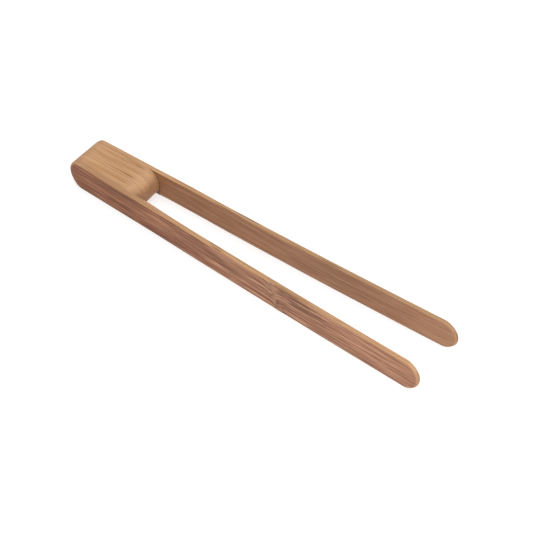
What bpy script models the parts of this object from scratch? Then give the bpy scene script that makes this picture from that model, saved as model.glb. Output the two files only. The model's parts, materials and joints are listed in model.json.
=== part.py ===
"""Bamboo kitchen tongs: two springy bamboo strips glued to the sides of a laminated spacer block.

Metres. +X runs from the closed end to the tips, +Y is the left arm's side, and +Z is up.
The tongs lie on their long edges, on the plane z = 0, and the origin is under the middle of their box.
Run with: blender --background --python part.py
"""

import math

import bmesh
import bpy
from mathutils import Vector

# Overall sizes
OVERALL_LENGTH = 0.280
REAR_WIDTH = 0.0278  # over both arms at the closed end
TIP_WIDTH = 0.0452  # over both arms at the tips, at rest

# Arm strips
ARM_THICKNESS = 0.0032
HANDLE_HEIGHT = 0.0200  # along the spacer block
TIP_HEIGHT = 0.0224
TIP_ROUNDING = 0.0110  # how far the half-round tip reaches back
EDGE_RADIUS = 0.0007  # sanded long edges
REAR_CORNER_RADIUS = 0.0028  # sanded corners round the closed end

# Spacer block
BLOCK_LENGTH = 0.0528
CENTRE_SLAT_THICKNESS = 0.0072
REAR_CROWN_HEIGHT = 0.0122  # height at which the closed end reaches furthest back
REAR_ROUNDING_BELOW = 0.0108
REAR_ROUNDING_ABOVE = 0.0073
NOSE_CROWN_HEIGHT = 0.0085  # height at which the nose reaches furthest forward
NOSE_ROUNDING_BELOW = 0.0060
NOSE_ROUNDING_ABOVE = 0.0095

# Glue lines
GLUE_GAP = 0.0003  # wood to wood
GLUE_THICKNESS = 0.0002
GLUE_INSET = 0.0003  # the glue stops this far short of the sanded surface

# Flexing: each strip bends as if it turned at this share of its free length
FLEX_POINT_SHARE = 0.15
FLEX_GAP = 0.0003  # between the glued and the free part of a strip

# Worked out from the sizes above
REAR_X = -OVERALL_LENGTH / 2
SPREAD = math.atan2((TIP_WIDTH - REAR_WIDTH) / 2, OVERALL_LENGTH)
STRIP_LENGTH = OVERALL_LENGTH / math.cos(SPREAD)
NOSE_STATION = BLOCK_LENGTH / math.cos(SPREAD)
FLEX_STATION = NOSE_STATION + FLEX_POINT_SHARE * (STRIP_LENGTH - NOSE_STATION)
STRIP_THICKNESS_ACROSS = ARM_THICKNESS / math.cos(SPREAD)
REAR_INNER_HALF_WIDTH = REAR_WIDTH / 2 - STRIP_THICKNESS_ACROSS
LONG_EDGE_WEIGHT = EDGE_RADIUS / REAR_CORNER_RADIUS

# Modelling settings
QUARTER_CIRCLE_HANDLE = 4 / 3 * (math.sqrt(2) - 1)
CURVE_STEPS = 8
BEVEL_STEPS = 3
FLAT_ANGLE = math.radians(0.3)  # faces closer than this to one plane are joined
SHARP_ANGLE = math.radians(35)
WELD_DISTANCE = 1e-6
CUTTER_OVERRUN = 0.005
SIDES = {"left": 1, "right": -1}
UPRIGHT = math.radians(90)  # stands an outline drawn in XY up in the XZ plane

BAMBOO_SIDE = ((0.36, 0.19, 0.11), 0.55)
BAMBOO_END = ((0.52, 0.30, 0.16), 0.60)
BAMBOO_END_DARK = ((0.47, 0.26, 0.14), 0.60)
GLUE = ((0.16, 0.08, 0.04), 0.45)


def clear_scene():
    for obj in list(bpy.data.objects):
        bpy.data.objects.remove(obj)


def new_collection(name, hidden=False):
    collection = bpy.data.collections.new(name)
    collection.hide_render = hidden
    bpy.context.scene.collection.children.link(collection)
    return collection


def new_material(name, finish):
    colour, roughness = finish
    material = bpy.data.materials.new(name)
    material.use_nodes = True
    shader = material.node_tree.nodes["Principled BSDF"]
    shader.inputs["Base Color"].default_value = (*colour, 1)
    shader.inputs["Roughness"].default_value = roughness
    shader.inputs["Metallic"].default_value = 0
    return material


def point(x, z, back=(0, 0), ahead=(0, 0)):
    """One outline point, and how far its two handles reach from it."""
    return (x, z), back, ahead


def outline(name, points, thickness, collection):
    """A closed flat outline, drawn in XY and made thickness thick along Z."""
    curve = bpy.data.curves.new(name, "CURVE")
    curve.dimensions = "2D"
    curve.fill_mode = "BOTH"
    curve.extrude = thickness / 2
    curve.resolution_u = CURVE_STEPS
    spline = curve.splines.new("BEZIER")
    spline.bezier_points.add(len(points) - 1)
    spline.use_cyclic_u = True
    for knot, (place, back, ahead) in zip(spline.bezier_points, points):
        knot.co = (*place, 0)
        knot.handle_left_type = "FREE" if any(back) else "VECTOR"
        knot.handle_right_type = "FREE" if any(ahead) else "VECTOR"
        if any(back):
            knot.handle_left = (place[0] + back[0], place[1] + back[1], 0)
        if any(ahead):
            knot.handle_right = (place[0] + ahead[0], place[1] + ahead[1], 0)
    obj = bpy.data.objects.new(name, curve)
    collection.objects.link(obj)
    return obj


def to_mesh(curve_object, collection):
    """The outline as a closed mesh object of the same name and place."""
    bpy.context.view_layer.update()
    evaluated = curve_object.evaluated_get(bpy.context.evaluated_depsgraph_get())
    mesh = bpy.data.meshes.new_from_object(evaluated)
    work = bmesh.new()
    work.from_mesh(mesh)
    bmesh.ops.remove_doubles(work, verts=work.verts, dist=WELD_DISTANCE)
    bmesh.ops.dissolve_limit(work, angle_limit=FLAT_ANGLE, verts=work.verts, edges=work.edges)
    bmesh.ops.recalc_face_normals(work, faces=work.faces)
    work.to_mesh(mesh)
    work.free()
    name = curve_object.name
    matrix = curve_object.matrix_world.copy()
    bpy.data.objects.remove(curve_object)
    mesh.name = name
    obj = bpy.data.objects.new(name, mesh)
    obj.matrix_world = matrix
    collection.objects.link(obj)
    return obj


def strip_height(station):
    """Height of an arm strip, which flares from the block's nose to the tip."""
    flare = (station - NOSE_STATION) / (STRIP_LENGTH - NOSE_STATION)
    return HANDLE_HEIGHT + (TIP_HEIGHT - HANDLE_HEIGHT) * max(0.0, flare)


def rear_points(inset=0.0):
    """The rounded closed end in side view, from its top round to its bottom, with x = 0 at its crown."""
    k = QUARTER_CIRCLE_HANDLE
    below = REAR_ROUNDING_BELOW - inset
    above = REAR_ROUNDING_ABOVE - inset
    drop = REAR_CROWN_HEIGHT - inset
    rise = HANDLE_HEIGHT - REAR_CROWN_HEIGHT - inset
    return [
        point(REAR_ROUNDING_ABOVE, HANDLE_HEIGHT - inset, ahead=(-k * above, 0)),
        point(inset, REAR_CROWN_HEIGHT, back=(0, k * rise), ahead=(0, -k * drop)),
        point(REAR_ROUNDING_BELOW, inset, back=(-k * below, 0)),
    ]


def nose_points(inset=0.0):
    """The rounded nose of the block in side view, from its bottom round to its top, in the same frame."""
    k = QUARTER_CIRCLE_HANDLE
    below = NOSE_ROUNDING_BELOW - inset
    above = NOSE_ROUNDING_ABOVE - inset
    drop = NOSE_CROWN_HEIGHT - inset
    rise = HANDLE_HEIGHT - NOSE_CROWN_HEIGHT - inset
    return [
        point(BLOCK_LENGTH - NOSE_ROUNDING_BELOW, inset, ahead=(k * below, 0)),
        point(BLOCK_LENGTH - inset, NOSE_CROWN_HEIGHT, back=(0, -k * drop), ahead=(0, k * rise)),
        point(BLOCK_LENGTH - NOSE_ROUNDING_ABOVE, HANDLE_HEIGHT - inset, back=(k * above, 0)),
    ]


def tip_points():
    """The half-round tip of an arm in side view, from its bottom round to its top."""
    k = QUARTER_CIRCLE_HANDLE
    half_height = TIP_HEIGHT / 2
    start = STRIP_LENGTH - TIP_ROUNDING
    reach = k * TIP_ROUNDING
    rise = k * half_height
    return [
        point(start, 0, ahead=(reach, 0)),
        point(STRIP_LENGTH, half_height, back=(0, -rise), ahead=(0, rise)),
        point(start, TIP_HEIGHT, back=(reach, 0)),
    ]


def shifted(points, distance):
    return [((place[0] + distance, place[1]), back, ahead) for place, back, ahead in points]


def strip_place(station, side):
    """Where the middle of a strip's thickness is, at a distance along it from the closed end."""
    rear_y = REAR_WIDTH / 2 - STRIP_THICKNESS_ACROSS / 2
    return Vector((
        REAR_X + station * math.cos(SPREAD),
        side * (rear_y + station * math.sin(SPREAD)),
        0,
    ))


def stand_on_strip(obj, station, side):
    """Places an upright outline so that its own origin lies on a strip's middle plane."""
    obj.location = strip_place(station, side)
    obj.rotation_euler = (UPRIGHT, 0, side * SPREAD)


def sand_edges(obj, weight_of):
    """Rounds edges by a Bevel whose width is each edge's weight times the rear corner radius."""
    mesh = obj.data
    weights = mesh.attributes.new("bevel_weight_edge", "FLOAT", "EDGE")
    for edge in mesh.edges:
        start, end = (mesh.vertices[index].co for index in edge.vertices)
        weights.data[edge.index].value = weight_of(start, end)
    bevel = obj.modifiers.new("sanded_edges", "BEVEL")
    bevel.limit_method = "WEIGHT"
    bevel.width = REAR_CORNER_RADIUS
    bevel.segments = BEVEL_STEPS


def finish(obj, material):
    obj.data.shade_smooth()
    obj.data.set_sharp_from_angle(angle=SHARP_ANGLE)
    obj.data.materials.append(material)


def is_on_face(start, end, face_z):
    """Whether an edge lies on one of a strip's two broad faces, at z = face_z in its own frame."""
    return max(abs(start.z - face_z), abs(end.z - face_z)) < WELD_DISTANCE


def arm_root(name, side, collection, material):
    """The part of a strip that is glued to the block, up to the point it flexes about."""
    last_station = FLEX_STATION - FLEX_GAP / 2
    points = [
        *rear_points(),
        point(last_station, 0),
        point(last_station, strip_height(last_station)),
        point(NOSE_STATION, HANDLE_HEIGHT),
    ]
    obj = outline(name, points, ARM_THICKNESS, collection)
    stand_on_strip(obj, 0, side)
    obj = to_mesh(obj, collection)
    outer_face_z = -side * ARM_THICKNESS / 2

    def weight(start, end):
        """Outer edges only: a small radius along the strip, growing to the full one round the rear."""
        at_the_split = min(start.x, end.x) > last_station - WELD_DISTANCE
        if at_the_split or not is_on_face(start, end, outer_face_z):
            return 0.0
        steepness = abs((end - start).normalized().y)
        return LONG_EDGE_WEIGHT + (1 - LONG_EDGE_WEIGHT) * steepness

    sand_edges(obj, weight)
    finish(obj, material)


def arm(name, side, collection, material):
    """The free part of a strip, with its origin on the axis it flexes about."""
    first_station = FLEX_STATION + FLEX_GAP / 2
    points = [
        point(first_station, strip_height(first_station)),
        point(first_station, 0),
        *tip_points(),
    ]
    obj = outline(name, shifted(points, -FLEX_STATION), ARM_THICKNESS, collection)
    stand_on_strip(obj, FLEX_STATION, side)
    obj = to_mesh(obj, collection)

    def weight(start, end):
        """The edges of both broad faces, except at the split."""
        at_the_split = max(start.x, end.x) < FLEX_GAP
        broad_face = any(is_on_face(start, end, z) for z in (-ARM_THICKNESS / 2, ARM_THICKNESS / 2))
        return LONG_EDGE_WEIGHT if broad_face and not at_the_split else 0.0

    sand_edges(obj, weight)
    finish(obj, material)


def block_profile(name, thickness, collection, inset=0.0):
    """The spacer block's side view, made thickness thick and centred on the middle plane."""
    obj = outline(name, [*rear_points(inset), *nose_points(inset)], thickness, collection)
    obj.location = (REAR_X, 0, 0)
    obj.rotation_euler = (UPRIGHT, 0, 0)
    return to_mesh(obj, collection)


def centre_slat(name, collection, material):
    """The middle slat, with parallel sides."""
    obj = block_profile(name, CENTRE_SLAT_THICKNESS, collection)
    finish(obj, material)


def side_slat(name, side, profile, collection, material):
    """An outer slat: parallel to the centre slat inside, and planed to the arm's angle outside."""
    inner = CENTRE_SLAT_THICKNESS / 2 + GLUE_GAP
    rear_outer = REAR_INNER_HALF_WIDTH - GLUE_GAP / math.cos(SPREAD)
    slope = math.tan(SPREAD)
    before = -CUTTER_OVERRUN
    after = BLOCK_LENGTH + CUTTER_OVERRUN
    plan = [
        point(before, side * inner),
        point(after, side * inner),
        point(after, side * (rear_outer + after * slope)),
        point(before, side * (rear_outer + before * slope)),
    ]
    obj = outline(name, plan, HANDLE_HEIGHT + 2 * CUTTER_OVERRUN, collection)
    obj.location = (REAR_X, 0, HANDLE_HEIGHT / 2)
    obj = to_mesh(obj, collection)
    cut = obj.modifiers.new("side_profile", "BOOLEAN")
    cut.operation = "INTERSECT"
    cut.solver = "EXACT"
    cut.object = profile
    finish(obj, material)


def slat_glue(name, side, collection, material):
    """The glue line between the centre slat and an outer one."""
    obj = block_profile(name, GLUE_THICKNESS, collection, inset=GLUE_INSET)
    obj.location.y = side * (CENTRE_SLAT_THICKNESS + GLUE_GAP) / 2
    finish(obj, material)


def arm_glue(name, side, collection, material):
    """The glue line between an arm and the block, in the middle of their gap."""
    obj = block_profile(name, GLUE_THICKNESS, collection, inset=GLUE_INSET)
    gap_middle = GLUE_GAP / 2 / math.cos(SPREAD)
    obj.location.y = side * (REAR_INNER_HALF_WIDTH - gap_middle)
    obj.rotation_euler.z = side * SPREAD
    finish(obj, material)


def build():
    clear_scene()
    tongs = new_collection("bamboo_tongs")
    cutters = new_collection("cutters", hidden=True)
    strip_bamboo = new_material("bamboo_strip", BAMBOO_SIDE)
    slat_bamboo = new_material("bamboo_slat", BAMBOO_END)
    centre_bamboo = new_material("bamboo_centre_slat", BAMBOO_END_DARK)
    glue = new_material("glue", GLUE)

    profile = block_profile("block_profile", REAR_WIDTH * 2, cutters)
    profile.hide_render = True
    profile.display_type = "WIRE"

    centre_slat("spacer_slat_centre", tongs, centre_bamboo)
    for word, side in SIDES.items():
        arm_root(f"{word}_arm_root", side, tongs, strip_bamboo)
        arm(f"{word}_arm", side, tongs, strip_bamboo)
        side_slat(f"spacer_slat_{word}", side, profile, tongs, slat_bamboo)
        slat_glue(f"glue_line_{word}_slat", side, tongs, glue)
        arm_glue(f"glue_line_{word}_arm", side, tongs, glue)


build()
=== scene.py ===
"""Looks of the bamboo kitchen tongs: two sanded, springy bamboo strips glued to a laminated block.

Everything is in metres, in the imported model's frame: +X runs from the closed end to the tips,
+Y is the left arm's side and +Z is up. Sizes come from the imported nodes.
"""

import json
import math

import bpy
import numpy as np
from mathutils import Matrix, Vector, noise


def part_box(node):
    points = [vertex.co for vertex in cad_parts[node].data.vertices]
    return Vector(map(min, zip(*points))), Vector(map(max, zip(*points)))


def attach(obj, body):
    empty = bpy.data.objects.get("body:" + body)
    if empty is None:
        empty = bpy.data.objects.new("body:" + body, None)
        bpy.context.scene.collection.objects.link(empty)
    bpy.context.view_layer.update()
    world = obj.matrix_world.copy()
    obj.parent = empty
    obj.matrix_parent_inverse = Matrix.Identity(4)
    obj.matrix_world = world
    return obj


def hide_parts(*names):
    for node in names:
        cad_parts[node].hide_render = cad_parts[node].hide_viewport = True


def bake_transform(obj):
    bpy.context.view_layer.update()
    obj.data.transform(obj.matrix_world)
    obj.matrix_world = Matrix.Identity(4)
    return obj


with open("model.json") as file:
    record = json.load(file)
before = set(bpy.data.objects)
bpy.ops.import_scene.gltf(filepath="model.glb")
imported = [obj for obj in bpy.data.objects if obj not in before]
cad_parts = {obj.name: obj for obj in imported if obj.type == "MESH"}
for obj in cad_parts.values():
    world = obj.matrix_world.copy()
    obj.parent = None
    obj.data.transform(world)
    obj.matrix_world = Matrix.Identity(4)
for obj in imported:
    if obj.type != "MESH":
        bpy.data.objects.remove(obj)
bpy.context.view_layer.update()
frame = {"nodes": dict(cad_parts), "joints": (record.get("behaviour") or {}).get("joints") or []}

MM = 0.001
SIDES = {"left": 1, "right": -1}

# Edges of the strips and slats
LONG_EDGE_RADIUS = 0.55 * MM
REAR_CORNER_RADIUS = {"left": 3.0 * MM, "right": 2.0 * MM}
TIP_EDGE_RADIUS = 1.5 * MM
CRISP_EDGE_RADIUS = 0.12 * MM  # where a strip lies against the block
CRISP_EDGE_TO = -1 * MM  # along the strip from the nose, and rounded like the others from ROUND_EDGE_FROM
ROUND_EDGE_FROM = 6 * MM
SEAM_WIDTH = 0.10 * MM  # the joint that shows between two glued pieces
GLUE_FILM = 0.16 * MM  # a little wider than the seam, so that it fills it
GLUE_SUNK = 0.05 * MM
GLUE_EDGE_RADIUS = 0.02 * MM
CAD_GLUE_GAP = 0.3 * MM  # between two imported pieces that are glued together
SHADE_GLUE_BEAD = 0.45 * MM  # a dark glue bead along the nose, which is painted shade where the nose meets the strips
SHADE_GLUE_BEAD_REACH = 6 * MM
SHADE_GLUE_RUN_HEIGHT = 0.15 * MM  # the dark glue also goes down the strips under the nose, to this far above the table, as painted shade in the recess there
REAR_SKEW = 0.75 * MM  # the closed end was sanded a little out of square: the right side is longer
REAR_SKEW_REACH = 22 * MM

RIGHT_RISE = 0.043  # the right strip is this much taller than the left, and the block's top slopes up to it
STOUTER = {"left": 0.0, "right": 0.25 * MM}  # the free part of the right strip is also a little thicker
FEATHER = {"left": 0.0, "right": 0.55 * MM}  # and more so for a short way past the nose
FEATHER_RISE = 8 * MM
FEATHER_REACH = 35 * MM

NOSE_FULLNESS = 0.8 * MM  # how far the middle of the block's nose stands proud of its sides
NOSE_FULLNESS_REACH = 14 * MM
NOSE_FULLNESS_WHOLE = 2 * MM  # it has all its fullness from here to the front

# How finely the pieces are meshed
STATION_STEP = 1.2 * MM
END_STATIONS = 14
EDGE_STEPS = 5
EDGE_FACING_GAIN = 1.5  # a sanded edge shows the wood under the face from 42 degrees on
WALL_STEPS = {"strip": 3, "slab": 7}
FACE_ROWS = 10

# Natural shape: how far each strip's middle bows towards -Y, and how uneven the hand sanding is
BOW = {"left": 1.10 * MM, "right": 0.60 * MM}
EDGE_WAVE = 0.16 * MM
EDGE_WAVE_LENGTH = 38 * MM
EDGE_WAVE_FROM = 5 * MM  # past the nose: nothing up to here, all of it from EDGE_WAVE_TO
EDGE_WAVE_TO = 30 * MM
FACE_WAVE = 0.07 * MM
FACE_WAVE_LENGTH = 30 * MM
FACE_WAVE_TO = 20 * MM

# The growth node that crosses the right strip's outer face
NODE_X = 28 * MM
NODE_SLANT = -0.38  # along the strip, for each unit of height
NODE_RIDGE_HEIGHT = 0.16 * MM
NODE_RIDGE_HALF_WIDTH = 2.2 * MM

# Camera
CAMERA_TARGET = Vector((12.6 * MM, 2.7 * MM, 0))
CAMERA_AZIMUTH = math.radians(35.19)
CAMERA_ELEVATION = math.radians(49.34)
CAMERA_ROLL = math.radians(1.68)
CAMERA_DISTANCE = 2.159
CAMERA_LENS = 222.9


def corners(node):
    low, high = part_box(node)
    return Vector(low), Vector(high)


def vertex_array(node):
    mesh = frame["nodes"][node].data
    places = np.empty(len(mesh.vertices) * 3)
    mesh.vertices.foreach_get("co", places)
    return places.reshape(-1, 3)


class SideView:
    """The side view that the closed end and the block share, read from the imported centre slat."""

    def __init__(self):
        low, high = corners("spacer_slat_centre")
        places = vertex_array("spacer_slat_centre")
        flat = 0.01 * MM
        top = places[places[:, 2] > high.z - flat][:, 0]
        bottom = places[places[:, 2] < low.z + flat][:, 0]
        self.height = high.z
        self.rear_x = low.x
        self.nose_x = high.x
        self.length = high.x - low.x
        self.rear_crown = places[places[:, 0].argmin()][2]
        self.nose_crown = places[places[:, 0].argmax()][2]
        self.rear_above = top.min() - low.x
        self.rear_below = bottom.min() - low.x
        self.nose_above = high.x - top.max()
        self.nose_below = high.x - bottom.max()


class Strip:
    """Where one arm strip runs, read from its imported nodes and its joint."""

    def __init__(self, word):
        self.side = SIDES[word]
        root_low, root_high = corners(f"{word}_arm_root")
        arm_low, arm_high = corners(f"{word}_arm")
        joint = next(j for j in frame["joints"] if j["child"] == f"{word}_arm")
        pivot = Vector(joint["pos_m"])
        root_outer = max(abs(root_low.y), abs(root_high.y))
        tip_outer = max(abs(arm_low.y), abs(arm_high.y))
        spread = math.atan((tip_outer - root_outer) / (arm_high.x - root_high.x))
        self.along = Vector((math.cos(spread), self.side * math.sin(spread), 0))
        self.outward = Vector((-math.sin(spread), self.side * math.cos(spread), 0))
        outer_edge = Vector((root_high.x, self.side * root_outer, pivot.z))
        self.thickness = 2 * (outer_edge - pivot).dot(self.outward)
        self.length = (arm_high.x - root_low.x) / math.cos(spread)
        self.start = pivot + self.along * ((root_low.x - pivot.x) / math.cos(spread))
        self.start.z = 0
        self.tip_height = arm_high.z
        self.bow = BOW[word]

    def place(self, station, across, height, bow_share):
        """A point of the strip: across is outward from the middle of its thickness."""
        point = self.start + self.along * station + self.outward * across
        return (point.x, point.y - self.bow * bow_share, height)

    def middle(self, station):
        return self.start + self.along * station


side_view = SideView()


def smooth(low, high, value):
    """0 below low, 1 above high, and an S curve between them."""
    share = np.clip((np.asarray(value) - low) / (high - low), 0, 1)
    return share * share * (3 - 2 * share)


def round_end(distance, reach, crown, limit):
    """Height of a quarter-ellipse end, at a distance from its furthest point."""
    share = np.clip(1 - np.asarray(distance) / reach, 0, 1)
    return crown + (limit - crown) * np.sqrt(1 - share * share)


def stations(length, rear_reach, front_reach):
    """Distances from the rear: close together round both ends, evenly spaced between them."""
    quarter = np.linspace(0, math.pi / 2, END_STATIONS + 1)
    rear = rear_reach * (1 - np.cos(quarter))
    front = length - front_reach * (1 - np.cos(quarter[::-1]))
    count = round((front[0] - rear[-1]) / STATION_STEP)
    middle = np.linspace(rear[-1], front[0], count + 1)
    return np.concatenate([rear, middle[1:-1], front])


def wave(amount, length, seed, x, z):
    """Smooth unevenness of 0 to amount, at each point."""
    return np.array([
        amount * (0.5 + 0.5 * noise.noise(Vector((a / length, b / length, seed))))
        for a, b in np.broadcast(x, z)
    ])


def made_by_hand(places):
    """Draws the closed end back on the right side, and raises the top of that side."""
    half_width = -corners("right_arm_root")[1].y
    share = np.clip(0.5 - places[:, 1] / (2 * half_width), 0, 1)
    near_rear = 1 - smooth(0, REAR_SKEW_REACH, places[:, 0] - side_view.rear_x)
    places[:, 0] -= REAR_SKEW * share * near_rear
    places[:, 2] *= 1 + RIGHT_RISE * share
    return places


def nose_fullness(places, rows):
    """Fills out the shoulder of the nose, the most midway between the strips."""
    half_width = corners("left_arm_root")[0].y
    middle = np.clip(1 - (places[:, 1] / half_width) ** 2, 0, 1)
    shoulder = np.clip(2 * rows[:, 5] * rows[:, 6], 0, 1)
    near_nose = smooth(-NOSE_FULLNESS_REACH, 0, places[:, 0] - side_view.nose_x + NOSE_FULLNESS_WHOLE)
    amount = NOSE_FULLNESS * middle * shoulder * near_nose
    return np.stack([amount * rows[:, 5], 0 * amount, amount * rows[:, 6]], axis=1)


def ring_of(x, top, bottom):
    """The outline as one closed ring of points: the rear, the top to the front, and the bottom back."""
    rear = (top[0] + bottom[0]) / 2
    front = (top[-1] + bottom[-1]) / 2
    xs = np.concatenate([x, x[-2:0:-1]])
    zs = np.concatenate([[rear], top[1:-1], [front], bottom[-2:0:-1]])
    return xs, zs


def ring_normals(xs, zs):
    """Outward normals of a closed ring."""
    dx = np.roll(xs, -1) - np.roll(xs, 1)
    dz = np.roll(zs, -1) - np.roll(zs, 1)
    size = np.hypot(dx, dz)
    return -dz / size, dx / size


def cross_layers(half, outer_radius, inner_radius, wall_steps):
    """Layers across a plate, outer face to inner: (across, inset, how much it faces edgeways, worn edge and
    painted highlight).
    """
    arc = np.linspace(0, math.pi / 2, EDGE_STEPS + 1)
    facing = np.clip(EDGE_FACING_GAIN * np.sin(arc), 0, 1)
    layers = []
    for angle, edgeways in zip(arc, facing):
        across = half - outer_radius * (1 - math.cos(angle))
        # the last value peaks halfway round the edge: worn edge and painted highlight
        layers.append((across, outer_radius * (1 - math.sin(angle)), edgeways, math.sin(2 * angle)))
    for step in range(1, wall_steps):
        share = step / wall_steps
        across = (half - outer_radius) * (1 - share) - (half - inner_radius) * share
        layers.append((across, 0 * outer_radius, 1.0, 0.0))
    for angle, edgeways in zip(arc[::-1], facing[::-1]):
        across = inner_radius * (1 - math.cos(angle)) - half
        layers.append((across, inner_radius * (1 - math.sin(angle)), edgeways, math.sin(2 * angle)))
    return layers


def cap_rows(ring_size, station_count, first_vertex, points):
    """Fills a broad face between the top and the bottom of its ring: new points and the faces."""
    last = station_count - 1
    grid = []
    for i in range(1, last):
        low = first_vertex + ring_size - i
        high = first_vertex + i
        column = [low]
        for row in range(1, FACE_ROWS):
            share = row / FACE_ROWS
            points.append(tuple(a * (1 - share) + b * share for a, b in zip(points[low], points[high])))
            column.append(len(points) - 1)
        column.append(high)
        grid.append(column)
    faces = []
    for left, right in zip(grid, grid[1:]):
        for row in range(FACE_ROWS):
            faces.append((left[row], right[row], right[row + 1], left[row + 1]))
    for row in range(FACE_ROWS):
        faces.append((first_vertex, grid[0][row], grid[0][row + 1]))
        faces.append((grid[-1][row], first_vertex + last, grid[-1][row + 1]))
    return faces


def plate_mesh(x, top, bottom, half, outer_radius, inner_radius, wall_steps):
    """A closed plate with rounded edges, as rows of (x, across, z, edgeways, worn edge and painted
    highlight, nx, nz) and faces.
    """
    xs, zs = ring_of(x, top, bottom)
    nx, nz = ring_normals(xs, zs)
    ring_size = len(xs)
    points = []
    layers = cross_layers(half(xs), outer_radius(xs, nx), inner_radius(xs, nx), wall_steps)
    for across, inset, edgeways, wear_and_highlight in layers:
        for i in range(ring_size):
            x_at, z_at = xs[i] - nx[i] * inset[i], zs[i] - nz[i] * inset[i]
            points.append((x_at, across[i], z_at, edgeways, wear_and_highlight, nx[i], nz[i]))
    faces = []
    for layer in range(len(layers) - 1):
        for i in range(ring_size):
            j = (i + 1) % ring_size
            a, b = layer * ring_size, (layer + 1) * ring_size
            faces.append((a + i, a + j, b + j, b + i))
    outer = cap_rows(ring_size, len(x), 0, points)
    inner = cap_rows(ring_size, len(x), (len(layers) - 1) * ring_size, points)
    faces += outer
    faces += [face[::-1] for face in inner]
    return np.array(points), faces


def new_piece(name, places, faces, rows, grain, material, flip=False):
    """A mesh object that carries as attributes its grain coordinates, how it was worn and where a painted
    highlight lies along its edges.
    """
    mesh = bpy.data.meshes.new(name)
    mesh.from_pydata([tuple(p) for p in places], [], [face[::-1] for face in faces] if flip else faces)
    mesh.validate()
    mesh.attributes.new("grain", "FLOAT_VECTOR", "POINT").data.foreach_set("vector", grain.ravel())
    mesh.attributes.new("edgeways", "FLOAT", "POINT").data.foreach_set("value", rows[:, 3].copy())
    mesh.attributes.new("wear_and_highlight", "FLOAT", "POINT").data.foreach_set("value", rows[:, 4].copy())
    endways = rows[:, 3] * np.abs(rows[:, 5])
    mesh.attributes.new("endways", "FLOAT", "POINT").data.foreach_set("value", endways)
    mesh.shade_smooth()
    mesh.materials.append(material)
    piece = bpy.data.objects.new(name, mesh)
    bpy.context.scene.collection.objects.link(piece)
    return piece


def node_distance(x, z):
    """Distance along the strip from the middle of the growth node, in metres."""
    return x - NODE_X - NODE_SLANT * (z - side_view.height / 2)


def strip_outline(strip, x, seed):
    """Heights of a strip's top and bottom edges at each station."""
    view = side_view
    tip_reach = strip.tip_height / 2
    from_tip = strip.length - x
    flare = np.clip((x - view.length) / (strip.length - view.length), 0, 1)
    height = view.height + (strip.tip_height - view.height) * flare
    top = round_end(x, view.rear_above, view.rear_crown, view.height) + (height - view.height)
    top = np.minimum(top, round_end(from_tip, tip_reach, tip_reach, height))
    bottom = round_end(x, view.rear_below, view.rear_crown, 0)
    bottom = np.maximum(bottom, round_end(from_tip, tip_reach, tip_reach, 0))
    free = smooth(view.length + EDGE_WAVE_FROM, view.length + EDGE_WAVE_TO, x)
    top -= free * wave(EDGE_WAVE, EDGE_WAVE_LENGTH, seed, x, 0)
    bottom += free * wave(EDGE_WAVE, EDGE_WAVE_LENGTH, seed + 3.1, x, 0)
    return top, bottom


class StripEdges:
    """Edge radii of a strip, from the distance from the rear and how far the outline faces along X."""

    def __init__(self, word, strip):
        self.rear_extra = REAR_CORNER_RADIUS[word] - LONG_EDGE_RADIUS
        self.tip_from = strip.length - strip.tip_height

    def tip_extra(self, xs, nx):
        round_the_tip = smooth(0.05, 0.80, nx) * (xs > self.tip_from)
        return (TIP_EDGE_RADIUS - LONG_EDGE_RADIUS) * round_the_tip

    def outer(self, xs, nx):
        round_the_rear = smooth(0.25, 0.95, -nx) * (xs < side_view.rear_below)
        return LONG_EDGE_RADIUS + self.rear_extra * round_the_rear + self.tip_extra(xs, nx)

    def inner(self, xs, nx):
        past_nose = smooth(side_view.length + CRISP_EDGE_TO, side_view.length + ROUND_EDGE_FROM, xs)
        radius = CRISP_EDGE_RADIUS + (LONG_EDGE_RADIUS - CRISP_EDGE_RADIUS) * past_nose
        return radius + self.tip_extra(xs, nx)


def strip_relief(word, strip, rows, seed, has_node):
    """Where each row lies across the strip, with the growth node, the extra thickness and the sanding."""
    nose = side_view.length
    x, across, z, edgeways = rows[:, 0], rows[:, 1].copy(), rows[:, 2], rows[:, 3]
    if has_node:
        ridge = np.exp(-(node_distance(x + side_view.rear_x, z) / NODE_RIDGE_HALF_WIDTH) ** 2)
        across += NODE_RIDGE_HEIGHT * ridge * smooth(0, strip.thickness / 2, across)
    feather = FEATHER[word] * (1 - smooth(nose + FEATHER_RISE, nose + FEATHER_REACH, x))
    extra = (STOUTER[word] + feather) * smooth(nose, nose + FEATHER_RISE, x)
    across -= extra * smooth(0, -strip.thickness / 2 + LONG_EDGE_RADIUS, across)
    uneven = wave(FACE_WAVE, FACE_WAVE_LENGTH, seed + 5.7, x, z)
    across -= np.sign(across) * (1 - edgeways) * uneven * smooth(nose, nose + FACE_WAVE_TO, x)
    return across


def make_strip(word, material, has_node):
    """One arm strip, whole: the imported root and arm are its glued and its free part."""
    strip = Strip(word)
    seed = strip.side * 7.3
    x = stations(strip.length, side_view.rear_below, strip.tip_height / 2)
    top, bottom = strip_outline(strip, x, seed)
    edges = StripEdges(word, strip)

    def half(xs):
        return np.full(len(xs), strip.thickness / 2)

    rows, faces = plate_mesh(x, top, bottom, half, edges.outer, edges.inner, WALL_STEPS["strip"])
    across = strip_relief(word, strip, rows, seed, has_node)
    share = np.clip((rows[:, 0] - side_view.length) / (strip.length - side_view.length), 0, 1)
    bow = np.sin(math.pi * share) * smooth(0, 0.25, share)
    places = np.array([strip.place(r[0], a, r[2], b) for r, a, b in zip(rows, across, bow)])
    places = made_by_hand(places)
    depth = strip.thickness / 2 - across
    grain = np.stack([rows[:, 0] + side_view.rear_x, depth, rows[:, 2]], axis=1)
    return new_piece(f"{word}_strip", places, faces, rows, grain, material, flip=strip.side > 0), strip


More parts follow.
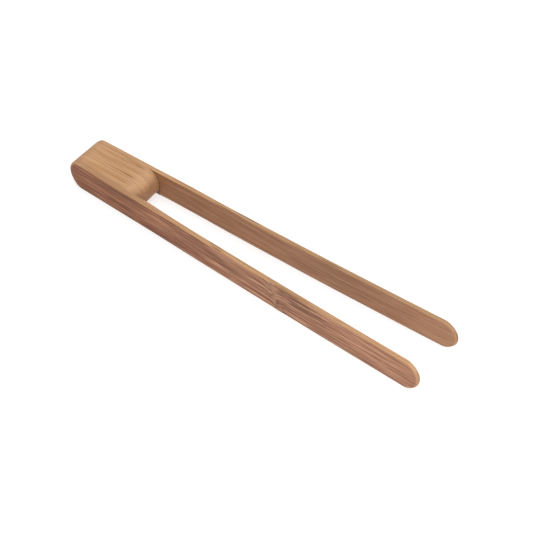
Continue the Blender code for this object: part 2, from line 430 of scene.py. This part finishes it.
def block_outline(inset=0.0):
    """The block's side view as stations with their top and bottom heights."""
    view = side_view
    x = stations(view.length, view.rear_below, view.nose_above)
    from_nose = view.length - x
    top = round_end(x, view.rear_above, view.rear_crown, view.height)
    top = np.minimum(top, round_end(from_nose, view.nose_above, view.nose_crown, view.height))
    bottom = round_end(x, view.rear_below, view.rear_crown, 0)
    bottom = np.maximum(bottom, round_end(from_nose, view.nose_below, view.nose_crown, 0))
    if inset:
        xs, zs = ring_of(x, top, bottom)
        nx, nz = ring_normals(xs, zs)
        count = len(x)
        moved_x, moved_z = xs - nx * inset, zs - nz * inset
        order = [0, *range(len(xs) - 1, count - 1, -1), count - 1]
        return moved_x[:count], moved_z[:count], moved_z[order]
    return x, top, bottom


def make_slab(name, low_y, high_y, grain_of, material, outline, edge_radius):
    """A slab of the block, between two upright faces whose Y depends on the distance from the rear."""
    x, top, bottom = outline

    def half(xs):
        return (high_y(xs) - low_y(xs)) / 2

    def radius(xs, nx):
        return np.minimum(edge_radius * np.ones(len(xs)), half(xs) * 0.9)

    rows, faces = plate_mesh(x, top, bottom, half, radius, radius, WALL_STEPS["slab"])
    places = rows[:, :3].copy()
    places[:, 0] += side_view.rear_x
    places[:, 1] += (low_y(rows[:, 0]) + high_y(rows[:, 0])) / 2
    places += nose_fullness(places, rows)
    grain = grain_of(places)
    return new_piece(name, made_by_hand(places), faces, rows, grain, material, flip=True)


def line_y(strip, across):
    """Y of a face of a strip, as a function of the distance from the rear."""
    slope = strip.along.y / strip.along.x
    point = strip.start + strip.outward * across
    rear_y = point.y + (side_view.rear_x - point.x) * slope
    return lambda x: rear_y + np.asarray(x) * slope


# Materials


def add(tree, kind, links=None, values=None, **settings):
    """Adds a shader node, sets its properties and values, and links its inputs."""
    made = tree.nodes.new(kind)
    for key, value in settings.items():
        setattr(made, key, value)
    for key, value in (values or {}).items():
        made.inputs[key].default_value = value
    for key, socket in (links or {}).items():
        tree.links.new(socket, made.inputs[key])
    return made


def combine(tree, operation, first, second):
    """A maths node between two sockets or numbers."""
    made = tree.nodes.new("ShaderNodeMath")
    made.operation = operation
    for slot, value in enumerate((first, second)):
        if isinstance(value, (int, float)):
            made.inputs[slot].default_value = value
        else:
            tree.links.new(value, made.inputs[slot])
    return made.outputs[0]


def vector_sum(tree, first, second):
    return add(tree, "ShaderNodeVectorMath", {0: first, 1: second}, operation="ADD").outputs[0]


def lit(tree, colour, factor):
    """A colour times a factor."""
    return add(tree, "ShaderNodeVectorMath", {0: colour, "Scale": factor}, operation="SCALE").outputs[0]


def swing(tree, value, amount):
    """A field of 0 to 1 as a swing about 0, amount wide."""
    return combine(tree, "MULTIPLY", combine(tree, "SUBTRACT", value, 0.5), amount)


def scaled(tree, vector, scale, offset=(0, 0, 0)):
    made = add(
        tree, "ShaderNodeVectorMath", {0: vector}, {1: scale, 2: offset}, operation="MULTIPLY_ADD"
    )
    return made.outputs[0]


def remap(tree, value, low, high, to_low=0.0, to_high=1.0):
    """A smooth step from to_low at low to to_high at high."""
    made = add(
        tree,
        "ShaderNodeMapRange",
        {"Value": value},
        {"From Min": low, "From Max": high, "To Min": to_low, "To Max": to_high},
        interpolation_type="SMOOTHSTEP",
    )
    return made.outputs["Result"]


def noise_field(tree, vector, detail=2.0, roughness=0.5):
    values = {"Scale": 1.0, "Detail": detail, "Roughness": roughness}
    return add(tree, "ShaderNodeTexNoise", {"Vector": vector}, values).outputs["Fac"]


def mix_colour(tree, share, first, second, blend="MIX"):
    made = tree.nodes.new("ShaderNodeMix")
    made.data_type = "RGBA"
    made.blend_type = blend
    for slot, value in ((0, share), (6, first), (7, second)):
        if isinstance(value, (int, float)):
            made.inputs[slot].default_value = value
        elif isinstance(value, tuple):
            made.inputs[slot].default_value = (*value, 1)
        else:
            tree.links.new(value, made.inputs[slot])
    return made.outputs[2]


def bundles(tree, vector, spacing, length, seed, height_share=1.0, randomness=0.95):
    """Fibre bundles: long cells whose dark cores show as lines along the grain and dots across it."""
    stretch = (1 / length, 1 / spacing, height_share / spacing)
    at = scaled(tree, vector, stretch, (seed, seed * 1.7, seed * 2.3))
    return add(
        tree, "ShaderNodeTexVoronoi", {"Vector": at}, {"Scale": 1.0, "Randomness": randomness}, feature="F1"
    )


def new_material(name):
    material = bpy.data.materials.new(name)
    material.use_nodes = True
    material.node_tree.nodes.clear()
    return material


def finish_material(material, colour, roughness, height, bump_distance, specular=0.2, glow=0.0):
    tree = material.node_tree
    bump = add(tree, "ShaderNodeBump", {"Height": height}, {"Strength": 1.0, "Distance": bump_distance})
    shader = add(
        tree,
        "ShaderNodeBsdfPrincipled",
        {"Base Color": colour, "Roughness": roughness, "Normal": bump.outputs[0]},
        {"Specular IOR Level": specular, "Emission Color": (1, 1, 1, 1), "Emission Strength": glow},
    )
    add(tree, "ShaderNodeOutputMaterial", {"Surface": shader.outputs[0]})
    return material


LIGHT_BAMBOO = (0.380, 0.203, 0.094)
WARM_BAMBOO = (0.310, 0.153, 0.065)
FIBRE_BROWN = (0.190, 0.082, 0.034)
DARK_FIBRE = (0.090, 0.035, 0.015)
STRIP_TINT = (0.98, 1.04, 1.12)
SLAT_TINT = (1.07, 1.13, 1.17)
SANDED_TINT = (1.04, 1.08, 1.18)
END_GRAIN_TINT = (0.81, 0.76, 0.82)
INNER_TINT_AND_REAR_SHADE = (0.97, 0.82, 0.77)  # the broad face that was nearest the culm's hollow, at the closed end, where painted shade makes it darker and warmer
INNER_TIP_TINT = (0.98, 0.89, 0.97)  # and towards the tip, where the painted shade has faded out
SKIN_TINT_AND_REAR_SHADE = (0.70, 0.49, 0.45)  # the broad face that was nearest its skin, at the closed end, where painted shade makes it much darker and redder
SKIN_TIP_TINT = (0.92, 0.77, 0.85)  # and towards the tip, where the painted shade has faded out
# Ranges along the strip, in grain millimetres
EDGE_TONE_RANGE = (-70, 10)
# over this range the broad faces go from their closed-end colours, darkened by painted shade, to their tip
# colours
REAR_SHADE_RANGE = (-115, 30)
CALM_TIP = (50, 100)  # the streaks are fainter towards the tips
SANDED_REAR = (-134, -124)  # the top of the closed end is smooth up to here
SANDED_NOSE = (-103, -95)  # and the block's top is smooth from here to the nose
STREAK_DARK = (0.58, 0.46, 0.42)
STREAK_LIGHT = (1.36, 1.46, 1.54)
GROOVE_DEPTH = 0.12 * MM
NODE_PALE = (0.33, 0.185, 0.105)
# the glue's own colour in the joints, and painted shade where the dark bead at the nose stands in for shade
GLUE_AND_SHADE_AMBER = (0.10, 0.045, 0.020)


class NodeFields:
    """Where a point lies about the growth node: distances in millimetres, along the strip."""

    def __init__(self, tree, wood):
        height = combine(tree, "SUBTRACT", wood.height, side_view.height / MM / 2)
        slant = combine(tree, "MULTIPLY", height, NODE_SLANT)
        wobble = noise_field(tree, scaled(tree, wood.grain, (0.06, 0.5, 0.35)), 3.0, 0.6)
        from_node = combine(tree, "SUBTRACT", wood.along, NODE_X / MM)
        from_node = combine(tree, "SUBTRACT", from_node, slant)
        self.signed = combine(tree, "ADD", from_node, swing(tree, wobble, 10.0))
        self.distance = combine(tree, "ABSOLUTE", self.signed, 0)
        self.band = remap(tree, self.distance, 1.5, 7.5, 1.0, 0.0)
        self.scar = remap(tree, self.distance, 0.25, 1.3, 1.0, 0.0)
        after = remap(tree, self.signed, 3.0, 9.0)
        after = combine(tree, "MULTIPLY", after, remap(tree, self.signed, 22.0, 46.0, 1.0, 0.0))
        self.dark_lane = combine(tree, "MULTIPLY", after, remap(tree, wood.height, 10.5, 14.5))

    def shift(self, tree):
        """Fibres dip as they cross the node, and don't run straight through it."""
        beyond = combine(tree, "MULTIPLY", remap(tree, self.signed, -1.0, 1.0), 64.0)
        dip = remap(tree, self.distance, 0.0, 8.0, 1.4, 0.0)
        return add(tree, "ShaderNodeCombineXYZ", {"X": beyond, "Z": dip}).outputs[0]


def node_marks(tree, grain, node, toned, streak, seed):
    """The pale and dark blotches of the node, and the dark streaks past it."""
    blotch = noise_field(tree, scaled(tree, grain, (0.30, 0.5, 0.42), (seed, 0, 0)), 3.0, 0.6)
    dark_spot = combine(tree, "MULTIPLY", remap(tree, blotch, 0.54, 0.64), node.band)
    pale = combine(tree, "MULTIPLY", remap(tree, blotch, 0.54, 0.42), node.band)
    toned = mix_colour(tree, combine(tree, "MULTIPLY", pale, 0.60), toned, NODE_PALE)
    toned = mix_colour(tree, combine(tree, "MULTIPLY", dark_spot, 0.60), toned, DARK_FIBRE)
    toned = mix_colour(tree, combine(tree, "MULTIPLY", node.scar, 0.18), toned, DARK_FIBRE)
    lane = combine(tree, "MULTIPLY", node.dark_lane, remap(tree, streak, 0.75, 0.25))
    return mix_colour(tree, combine(tree, "MULTIPLY", lane, 0.55), toned, DARK_FIBRE)


# Open fibre bundles: their length in millimetres, how much the height counts beside the spacing, how
# evenly they stand, the core that shows as a line, and the ranks between which a line turns dark
LAYERED_LINES = {
    "length": 160.0,
    "height_share": 0.02,
    "randomness": 0.80,
    "core": (0.15, 0.29),
    "dark": (0.20, 0.65),
}
SCATTERED_LINES = {
    "length": 60.0,
    "height_share": 1.0,
    "randomness": 0.95,
    "core": (0.12, 0.28),
    "dark": (0.0, 0.60),
}


class Cut:
    """How a piece was cut from the culm: what sets its fibre pattern apart."""

    def __init__(self, seed, line_spacing, layered, wander, tint, edge_tone=(1.0, 1.0), has_node=False):
        self.seed = seed
        self.line_spacing = line_spacing  # between the open bundles that show as dark lines
        self.layered = layered  # bundles stand in layers, which an edge shows as even lines
        self.lines = LAYERED_LINES if layered else SCATTERED_LINES
        self.wander = wander
        self.tint = tint
        self.edge_tone = edge_tone  # brightness of the narrow edges, near the block and towards the tip
        self.has_node = has_node


class Wood:
    """What a piece's shading reads: its grain in millimetres, how each point faces and was worn, and the
    painted highlight along its edges.
    """

    def __init__(self, tree, cut):
        grain = add(tree, "ShaderNodeAttribute", attribute_name="grain").outputs["Vector"]
        self.grain = scaled(tree, grain, (1000, 1000, 1000))
        self.edgeways = add(tree, "ShaderNodeAttribute", attribute_name="edgeways").outputs["Fac"]
        self.wear_and_highlight = add(tree, "ShaderNodeAttribute", attribute_name="wear_and_highlight").outputs["Fac"]
        self.endways = add(tree, "ShaderNodeAttribute", attribute_name="endways").outputs["Fac"]
        split = add(tree, "ShaderNodeSeparateXYZ", {0: self.grain})
        self.along, depth, self.height = split.outputs
        self.skin = remap(tree, depth, 0.2, 2.2, 1.0, 0.0)
        self.streaky = remap(tree, self.skin, 0.0, 1.0, 0.15, 1.0)
        self.sanded = self.sanded_ends(tree, cut)

    def sanded_ends(self, tree, cut):
        """1 on the rounded ends and on the flat top next to them."""
        zone = remap(tree, self.along, *SANDED_REAR, 0.8, 0.0)
        if cut.layered:
            zone = combine(tree, "MAXIMUM", zone, remap(tree, self.along, *SANDED_NOSE, 0.0, 0.8))
        zone = combine(tree, "MULTIPLY", zone, self.edgeways)
        return combine(tree, "MAXIMUM", remap(tree, self.endways, 0.10, 0.60), zone)


def fibre_path(tree, cut, wood):
    """Grain coordinates that wander a little, as the fibres do."""
    seed, wander = cut.seed, cut.wander
    drift = scaled(tree, wood.grain, (0.016, 0.08, 0.08), (seed, seed, seed))
    drift = add(tree, "ShaderNodeTexNoise", {"Vector": drift}, {"Scale": 1.0, "Detail": 1.5})
    offset = scaled(
        tree, drift.outputs["Color"], (0, wander, wander), (0, -wander / 2, -wander / 2)
    )
    return vector_sum(tree, wood.grain, offset)


class Fibres:
    """Fields of 0 to 1 along the fibres: many fine bundles, fewer open ones, and streaks of tone."""

    def __init__(self, tree, cut, wood, at):
        seed = cut.seed
        fine = bundles(tree, at, 0.8, 40.0, seed)
        self.fine = remap(tree, fine.outputs["Distance"], 0.14, 0.36, 1.0, 0.0)
        self.open = self.open_bundles(tree, cut, wood, at)
        streak = noise_field(tree, scaled(tree, at, (0.025, 0.62, 0.62), (seed, 0, 0)), 4.0, 0.65)
        streak = remap(tree, streak, 0.40, 0.62)
        calm = remap(tree, wood.sanded, 0.0, 1.0, 1.0, 0.35)
        self.streak = combine(tree, "ADD", swing(tree, streak, calm), 0.55)
        band = noise_field(tree, scaled(tree, at, (0.018, 0.34, 0.34), (seed, seed, 0)), 3.0, 0.7)
        self.band = remap(tree, band, 0.40, 0.60)
        broad = noise_field(tree, scaled(tree, at, (0.014, 0.11, 0.11), (0, seed, 0)), 2.0)
        self.tone = remap(tree, broad, 0.3, 0.7, 0.91, 1.07)

    def open_bundles(self, tree, cut, wood, at):
        """The bundles that show as dark lines, faint on sanded ends and on the face near the hollow."""
        lines = cut.lines
        cells = bundles(
            tree,
            at,
            cut.line_spacing,
            lines["length"],
            cut.seed + 4.0,
            lines["height_share"],
            lines["randomness"],
        )
        core = remap(tree, cells.outputs["Distance"], *lines["core"], 1.0, 0.0)
        rank = add(tree, "ShaderNodeSeparateColor", {0: cells.outputs["Color"]}).outputs[0]
        core = combine(tree, "MULTIPLY", core, remap(tree, rank, *lines["dark"]))
        core = combine(tree, "MULTIPLY", core, remap(tree, wood.sanded, 0.0, 1.0, 1.0, 0.10))
        return combine(tree, "MULTIPLY", core, combine(tree, "MAXIMUM", wood.edgeways, wood.streaky))


def edge_colour(tree, cut, wood, fibres):
    """Bamboo cut edgeways: warm and light, with brown bundles, and smoother at the sanded ends."""
    colour = mix_colour(tree, fibres.streak, WARM_BAMBOO, LIGHT_BAMBOO)
    share = combine(tree, "MULTIPLY", fibres.fine, remap(tree, fibres.streak, 0.0, 1.0, 0.45, 0.20))
    share = combine(tree, "MULTIPLY", share, remap(tree, wood.sanded, 0.0, 1.0, 1.0, 0.45))
    colour = mix_colour(tree, share, colour, FIBRE_BROWN)
    colour = mix_colour(tree, combine(tree, "MULTIPLY", fibres.open, 0.95), colour, DARK_FIBRE)
    colour = mix_colour(tree, 1.0, lit(tree, colour, fibres.tone), cut.tint, "MULTIPLY")
    tint = mix_colour(tree, remap(tree, wood.endways, 0.65, 1.0), SANDED_TINT, END_GRAIN_TINT)
    return mix_colour(tree, wood.sanded, colour, tint, "MULTIPLY")


def face_colour(tree, wood, fibres, colour):
    """The broad faces: streaky and red near the skin, plain near the hollow, with painted shade darkening
    and reddening them towards the closed end.
    """
    band = combine(tree, "MULTIPLY", fibres.band, 0.45)
    streaks = combine(tree, "ADD", band, combine(tree, "MULTIPLY", fibres.streak, 0.55))
    streaks = mix_colour(tree, streaks, STREAK_DARK, STREAK_LIGHT)
    share = combine(tree, "MULTIPLY", wood.streaky, remap(tree, wood.along, *CALM_TIP, 1.0, 0.7))
    colour = mix_colour(tree, 1.0, colour, mix_colour(tree, share, (1, 1, 1), streaks), "MULTIPLY")
    # painted shade: the broad faces turn darker and redder towards the closed end
    along = remap(tree, wood.along, *REAR_SHADE_RANGE)
    skin_tint_and_shade = mix_colour(tree, along, SKIN_TINT_AND_REAR_SHADE, SKIN_TIP_TINT)
    inner_tint_and_shade = mix_colour(tree, along, INNER_TINT_AND_REAR_SHADE, INNER_TIP_TINT)
    return mix_colour(tree, 1.0, colour, mix_colour(tree, wood.skin, inner_tint_and_shade, skin_tint_and_shade), "MULTIPLY")


def open_pores(tree, cut, wood):
    """A few open pores, on the sanded ends only."""
    at = scaled(tree, wood.grain, (0.55, 0.55, 0.55), (cut.seed, 0, cut.seed))
    values = {"Scale": 1.0, "Randomness": 1.0}
    cells = add(tree, "ShaderNodeTexVoronoi", {"Vector": at}, values, feature="F1")
    rank = add(tree, "ShaderNodeSeparateColor", {0: cells.outputs["Color"]}).outputs[1]
    pores = remap(tree, cells.outputs["Distance"], 0.10, 0.30, 1.0, 0.0)
    pores = combine(tree, "MULTIPLY", pores, remap(tree, rank, 0.55, 0.75))
    return combine(tree, "MULTIPLY", pores, wood.sanded)


def bamboo(name, cut):
    """Carbonised bamboo as a solid texture in grain millimetres: along, depth from the skin, height."""
    material = new_material(name)
    tree = material.node_tree
    wood = Wood(tree, cut)
    at = fibre_path(tree, cut, wood)
    if cut.has_node:
        node = NodeFields(tree, wood)
        at = vector_sum(tree, at, node.shift(tree))
    fibres = Fibres(tree, cut, wood, at)
    edge = edge_colour(tree, cut, wood, fibres)
    face = face_colour(tree, wood, fibres, edge)
    edge = lit(tree, edge, remap(tree, wood.along, *EDGE_TONE_RANGE, *cut.edge_tone))
    colour = mix_colour(tree, wood.edgeways, face, edge)
    # rounded edges lightened: partly worn wood, partly a painted highlight along them
    colour = mix_colour(tree, combine(tree, "MULTIPLY", wood.wear_and_highlight, 0.40), colour, LIGHT_BAMBOO)
    if cut.has_node:
        marked = node_marks(tree, wood.grain, node, colour, fibres.streak, cut.seed)
        colour = mix_colour(tree, remap(tree, wood.edgeways, 0.0, 1.0, 1.0, 0.4), colour, marked)
    pores = combine(tree, "MULTIPLY", open_pores(tree, cut, wood), 0.55)
    colour = mix_colour(tree, pores, colour, FIBRE_BROWN)
    grooves = combine(tree, "ADD", combine(tree, "MULTIPLY", fibres.fine, 0.15), fibres.open)
    roughness = remap(tree, grooves, 0.0, 1.2, 0.52, 0.74)
    height = combine(tree, "MULTIPLY", grooves, -1.0)
    return finish_material(material, colour, roughness, height, GROOVE_DEPTH)


# the glue lines' material, also used for the dark bead at the nose, which is painted shade
def glue_and_shade_material():
    material = new_material("glue_line")
    tree = material.node_tree
    place = add(tree, "ShaderNodeTexCoord").outputs["Object"]
    blotch = noise_field(tree, scaled(tree, place, (350, 350, 350)), 3.0)
    colour = mix_colour(tree, blotch, GLUE_AND_SHADE_AMBER, FIBRE_BROWN)
    roughness = remap(tree, blotch, 0.3, 0.7, 0.35, 0.6)
    return finish_material(material, colour, roughness, blotch, 0.00003, 0.5)


# The object


def build_tongs():
    cuts = {
        "left": Cut(11.0, 1.8, False, 2.0, STRIP_TINT, (1.06, 0.87)),
        "right": Cut(23.0, 1.6, False, 3.0, STRIP_TINT, (1.03, 1.05), has_node=True),
    }
    materials = {word: bamboo(f"bamboo_strip_{word}", cut) for word, cut in cuts.items()}
    glue = glue_and_shade_material()
    strips = {}
    for word in SIDES:
        piece, strip = make_strip(word, materials[word], cuts[word].has_node)
        strips[word] = strip
        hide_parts(f"{word}_arm_root", f"{word}_arm")
        nose_station = side_view.length / strip.along.x
        strip.middle(nose_station)
        strip.middle(nose_station + 0.60 * (strip.length - nose_station))
        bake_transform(piece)
    build_block(strips, glue)


def glue_and_shade_outline():
    """The strips' glue film, with a dark bead along the nose that carries on down the strip under it:
    painted shade where the nose meets the strips and in the recess under the nose.
    """
    x, top, bottom = block_outline(GLUE_SUNK)
    nose = side_view.length
    below = side_view.nose_below
    # painted shade: the dark glue reaches down the strip under the nose
    shade_run = smooth(nose - below, nose - below / 2, x)
    bottom = bottom * (1 - shade_run) + np.minimum(bottom, SHADE_GLUE_RUN_HEIGHT) * shade_run
    return x + SHADE_GLUE_BEAD * smooth(nose - SHADE_GLUE_BEAD_REACH, nose, x), top, bottom


def same_y(y):
    """A face at the same Y all along."""
    return lambda x: y + 0 * np.asarray(x)


def shifted(face, amount):
    """The same face, moved along Y."""
    return lambda x: face(x) + amount


def film(name, face, outline, material):
    """A glue film, centred on an upright face."""
    low, high = shifted(face, -GLUE_FILM / 2), shifted(face, GLUE_FILM / 2)
    return make_slab(name, low, high, lambda places: places, material, outline, GLUE_EDGE_RADIUS)


def build_block(strips, glue):
    """Three slats between the strips, with a glue line in each of the four joints."""
    joint_y = corners("spacer_slat_centre")[1].y + CAD_GLUE_GAP / 2
    seam = SEAM_WIDTH / 2
    outline = block_outline()

    def centre_grain(places):
        return np.stack([places[:, 0], joint_y - places[:, 1], places[:, 2]], axis=1)

    centre = make_slab(
        "centre_slat",
        same_y(-(joint_y - seam)),
        same_y(joint_y - seam),
        centre_grain,
        bamboo("bamboo_centre_slat", Cut(3.0, 1.9, True, 1.0, SLAT_TINT)),
        outline,
        CRISP_EDGE_RADIUS,
    )
    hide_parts("spacer_slat_centre")
    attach(centre, "handle")
    for word, side in SIDES.items():
        build_side(word, side, strips[word], joint_y, outline, glue)


def build_side(word, side, strip, joint_y, outline, glue):
    """A side slat of the block, with its glue lines to the centre slat and to the strip."""
    inner_face = line_y(strip, -strip.thickness / 2)
    near_centre = same_y(side * (joint_y + SEAM_WIDTH / 2))
    near_strip = shifted(inner_face, -side * SEAM_WIDTH)

    def grain(places):
        return np.stack([places[:, 0], side * places[:, 1] - joint_y, places[:, 2]], axis=1)

    low, high = (near_centre, near_strip) if side > 0 else (near_strip, near_centre)
    wood = bamboo(f"bamboo_{word}_slat", Cut(5.0 + side, 1.6, True, 1.0, SLAT_TINT))
    slat = make_slab(f"{word}_slat", low, high, grain, wood, outline, CRISP_EDGE_RADIUS)
    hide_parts(f"spacer_slat_{word}")
    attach(slat, "handle")

    strip_seam = shifted(inner_face, -side * SEAM_WIDTH / 2)
    slat_seam = same_y(side * joint_y)
    slat_joint = film(f"{word}_slat_glue", slat_seam, block_outline(GLUE_SUNK), glue)
    # this glue film also carries the dark bead at the nose, which is painted shade
    strip_joint_and_shade = film(f"{word}_strip_glue_and_shade", strip_seam, glue_and_shade_outline(), glue)
    for piece, node in (
        (slat_joint, f"glue_line_{word}_slat"),
        (strip_joint_and_shade, f"glue_line_{word}_arm"),
    ):
        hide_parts(node)
        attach(piece, "handle")


# Stage


FLOOR_SIZE = 6.0
FLOOR_GREY = 0.45
FLOOR_GLOW = 0.60  # the table is a light table, which keeps the shadows faint


def build_floor():
    mesh = bpy.data.meshes.new("floor")
    half = FLOOR_SIZE / 2
    places = [(-half, -half, 0), (half, -half, 0), (half, half, 0), (-half, half, 0)]
    mesh.from_pydata(places, [], [(0, 1, 2, 3)])
    floor = bpy.data.objects.new("floor", mesh)
    bpy.context.scene.collection.objects.link(floor)
    material = new_material("white_table")
    tree = material.node_tree
    place = add(tree, "ShaderNodeTexCoord").outputs["Object"]
    cloud = noise_field(tree, scaled(tree, place, (3, 3, 3)), 2.0)
    tone = remap(tree, cloud, 0.3, 0.7, FLOOR_GREY - 0.005, FLOOR_GREY + 0.005)
    colour = add(tree, "ShaderNodeCombineColor", {0: tone, 1: tone, 2: tone}).outputs[0]
    roughness = remap(tree, cloud, 0.3, 0.7, 0.85, 0.95)
    finish_material(material, colour, roughness, cloud, 0.00001, specular=0.1, glow=FLOOR_GLOW)
    mesh.materials.append(material)


def area_light(name, place, target, size, power, colour=(1, 1, 1)):
    data = bpy.data.lights.new(name, "AREA")
    data.shape = "DISK"
    data.size = size
    data.energy = power
    data.color = colour
    light = bpy.data.objects.new(name, data)
    bpy.context.scene.collection.objects.link(light)
    light.location = place
    light.rotation_euler = (Vector(target) - Vector(place)).to_track_quat("-Z", "Y").to_euler()


def build_lights():
    world = bpy.data.worlds.new("studio")
    world.use_nodes = True
    background = world.node_tree.nodes["Background"]
    background.inputs["Color"].default_value = (0.97, 0.98, 1.0, 1)
    background.inputs["Strength"].default_value = 0.60
    bpy.context.scene.world = world
    area_light("key", (-0.15, 0.40, 1.35), (0, 0, 0), 1.5, 17.6)
    area_light("front", (1.2, -0.5, 0.9), (0, 0, 0), 0.8, 12)
    area_light("tip_fill", (0.32, -0.26, 0.08), (0.10, -0.02, 0.01), 0.14, 0.30, (0.90, 1.0, 1.10))


def build_camera():
    data = bpy.data.cameras.new("camera")
    data.lens = CAMERA_LENS
    data.sensor_width = 36
    data.clip_start = 0.05
    data.clip_end = 20
    camera = bpy.data.objects.new("camera", data)
    bpy.context.scene.collection.objects.link(camera)
    level = math.cos(CAMERA_ELEVATION)
    back = Vector((
        math.sin(CAMERA_AZIMUTH) * level,
        -math.cos(CAMERA_AZIMUTH) * level,
        math.sin(CAMERA_ELEVATION),
    ))
    turn = (-back).to_track_quat("-Z", "Y").to_matrix().to_4x4() @ Matrix.Rotation(CAMERA_ROLL, 4, "Z")
    camera.matrix_world = Matrix.Translation(CAMERA_TARGET + back * CAMERA_DISTANCE) @ turn
    bpy.context.scene.camera = camera


build_tongs()
build_floor()
build_lights()
build_camera()
bpy.context.scene.view_settings.view_transform = "Standard"
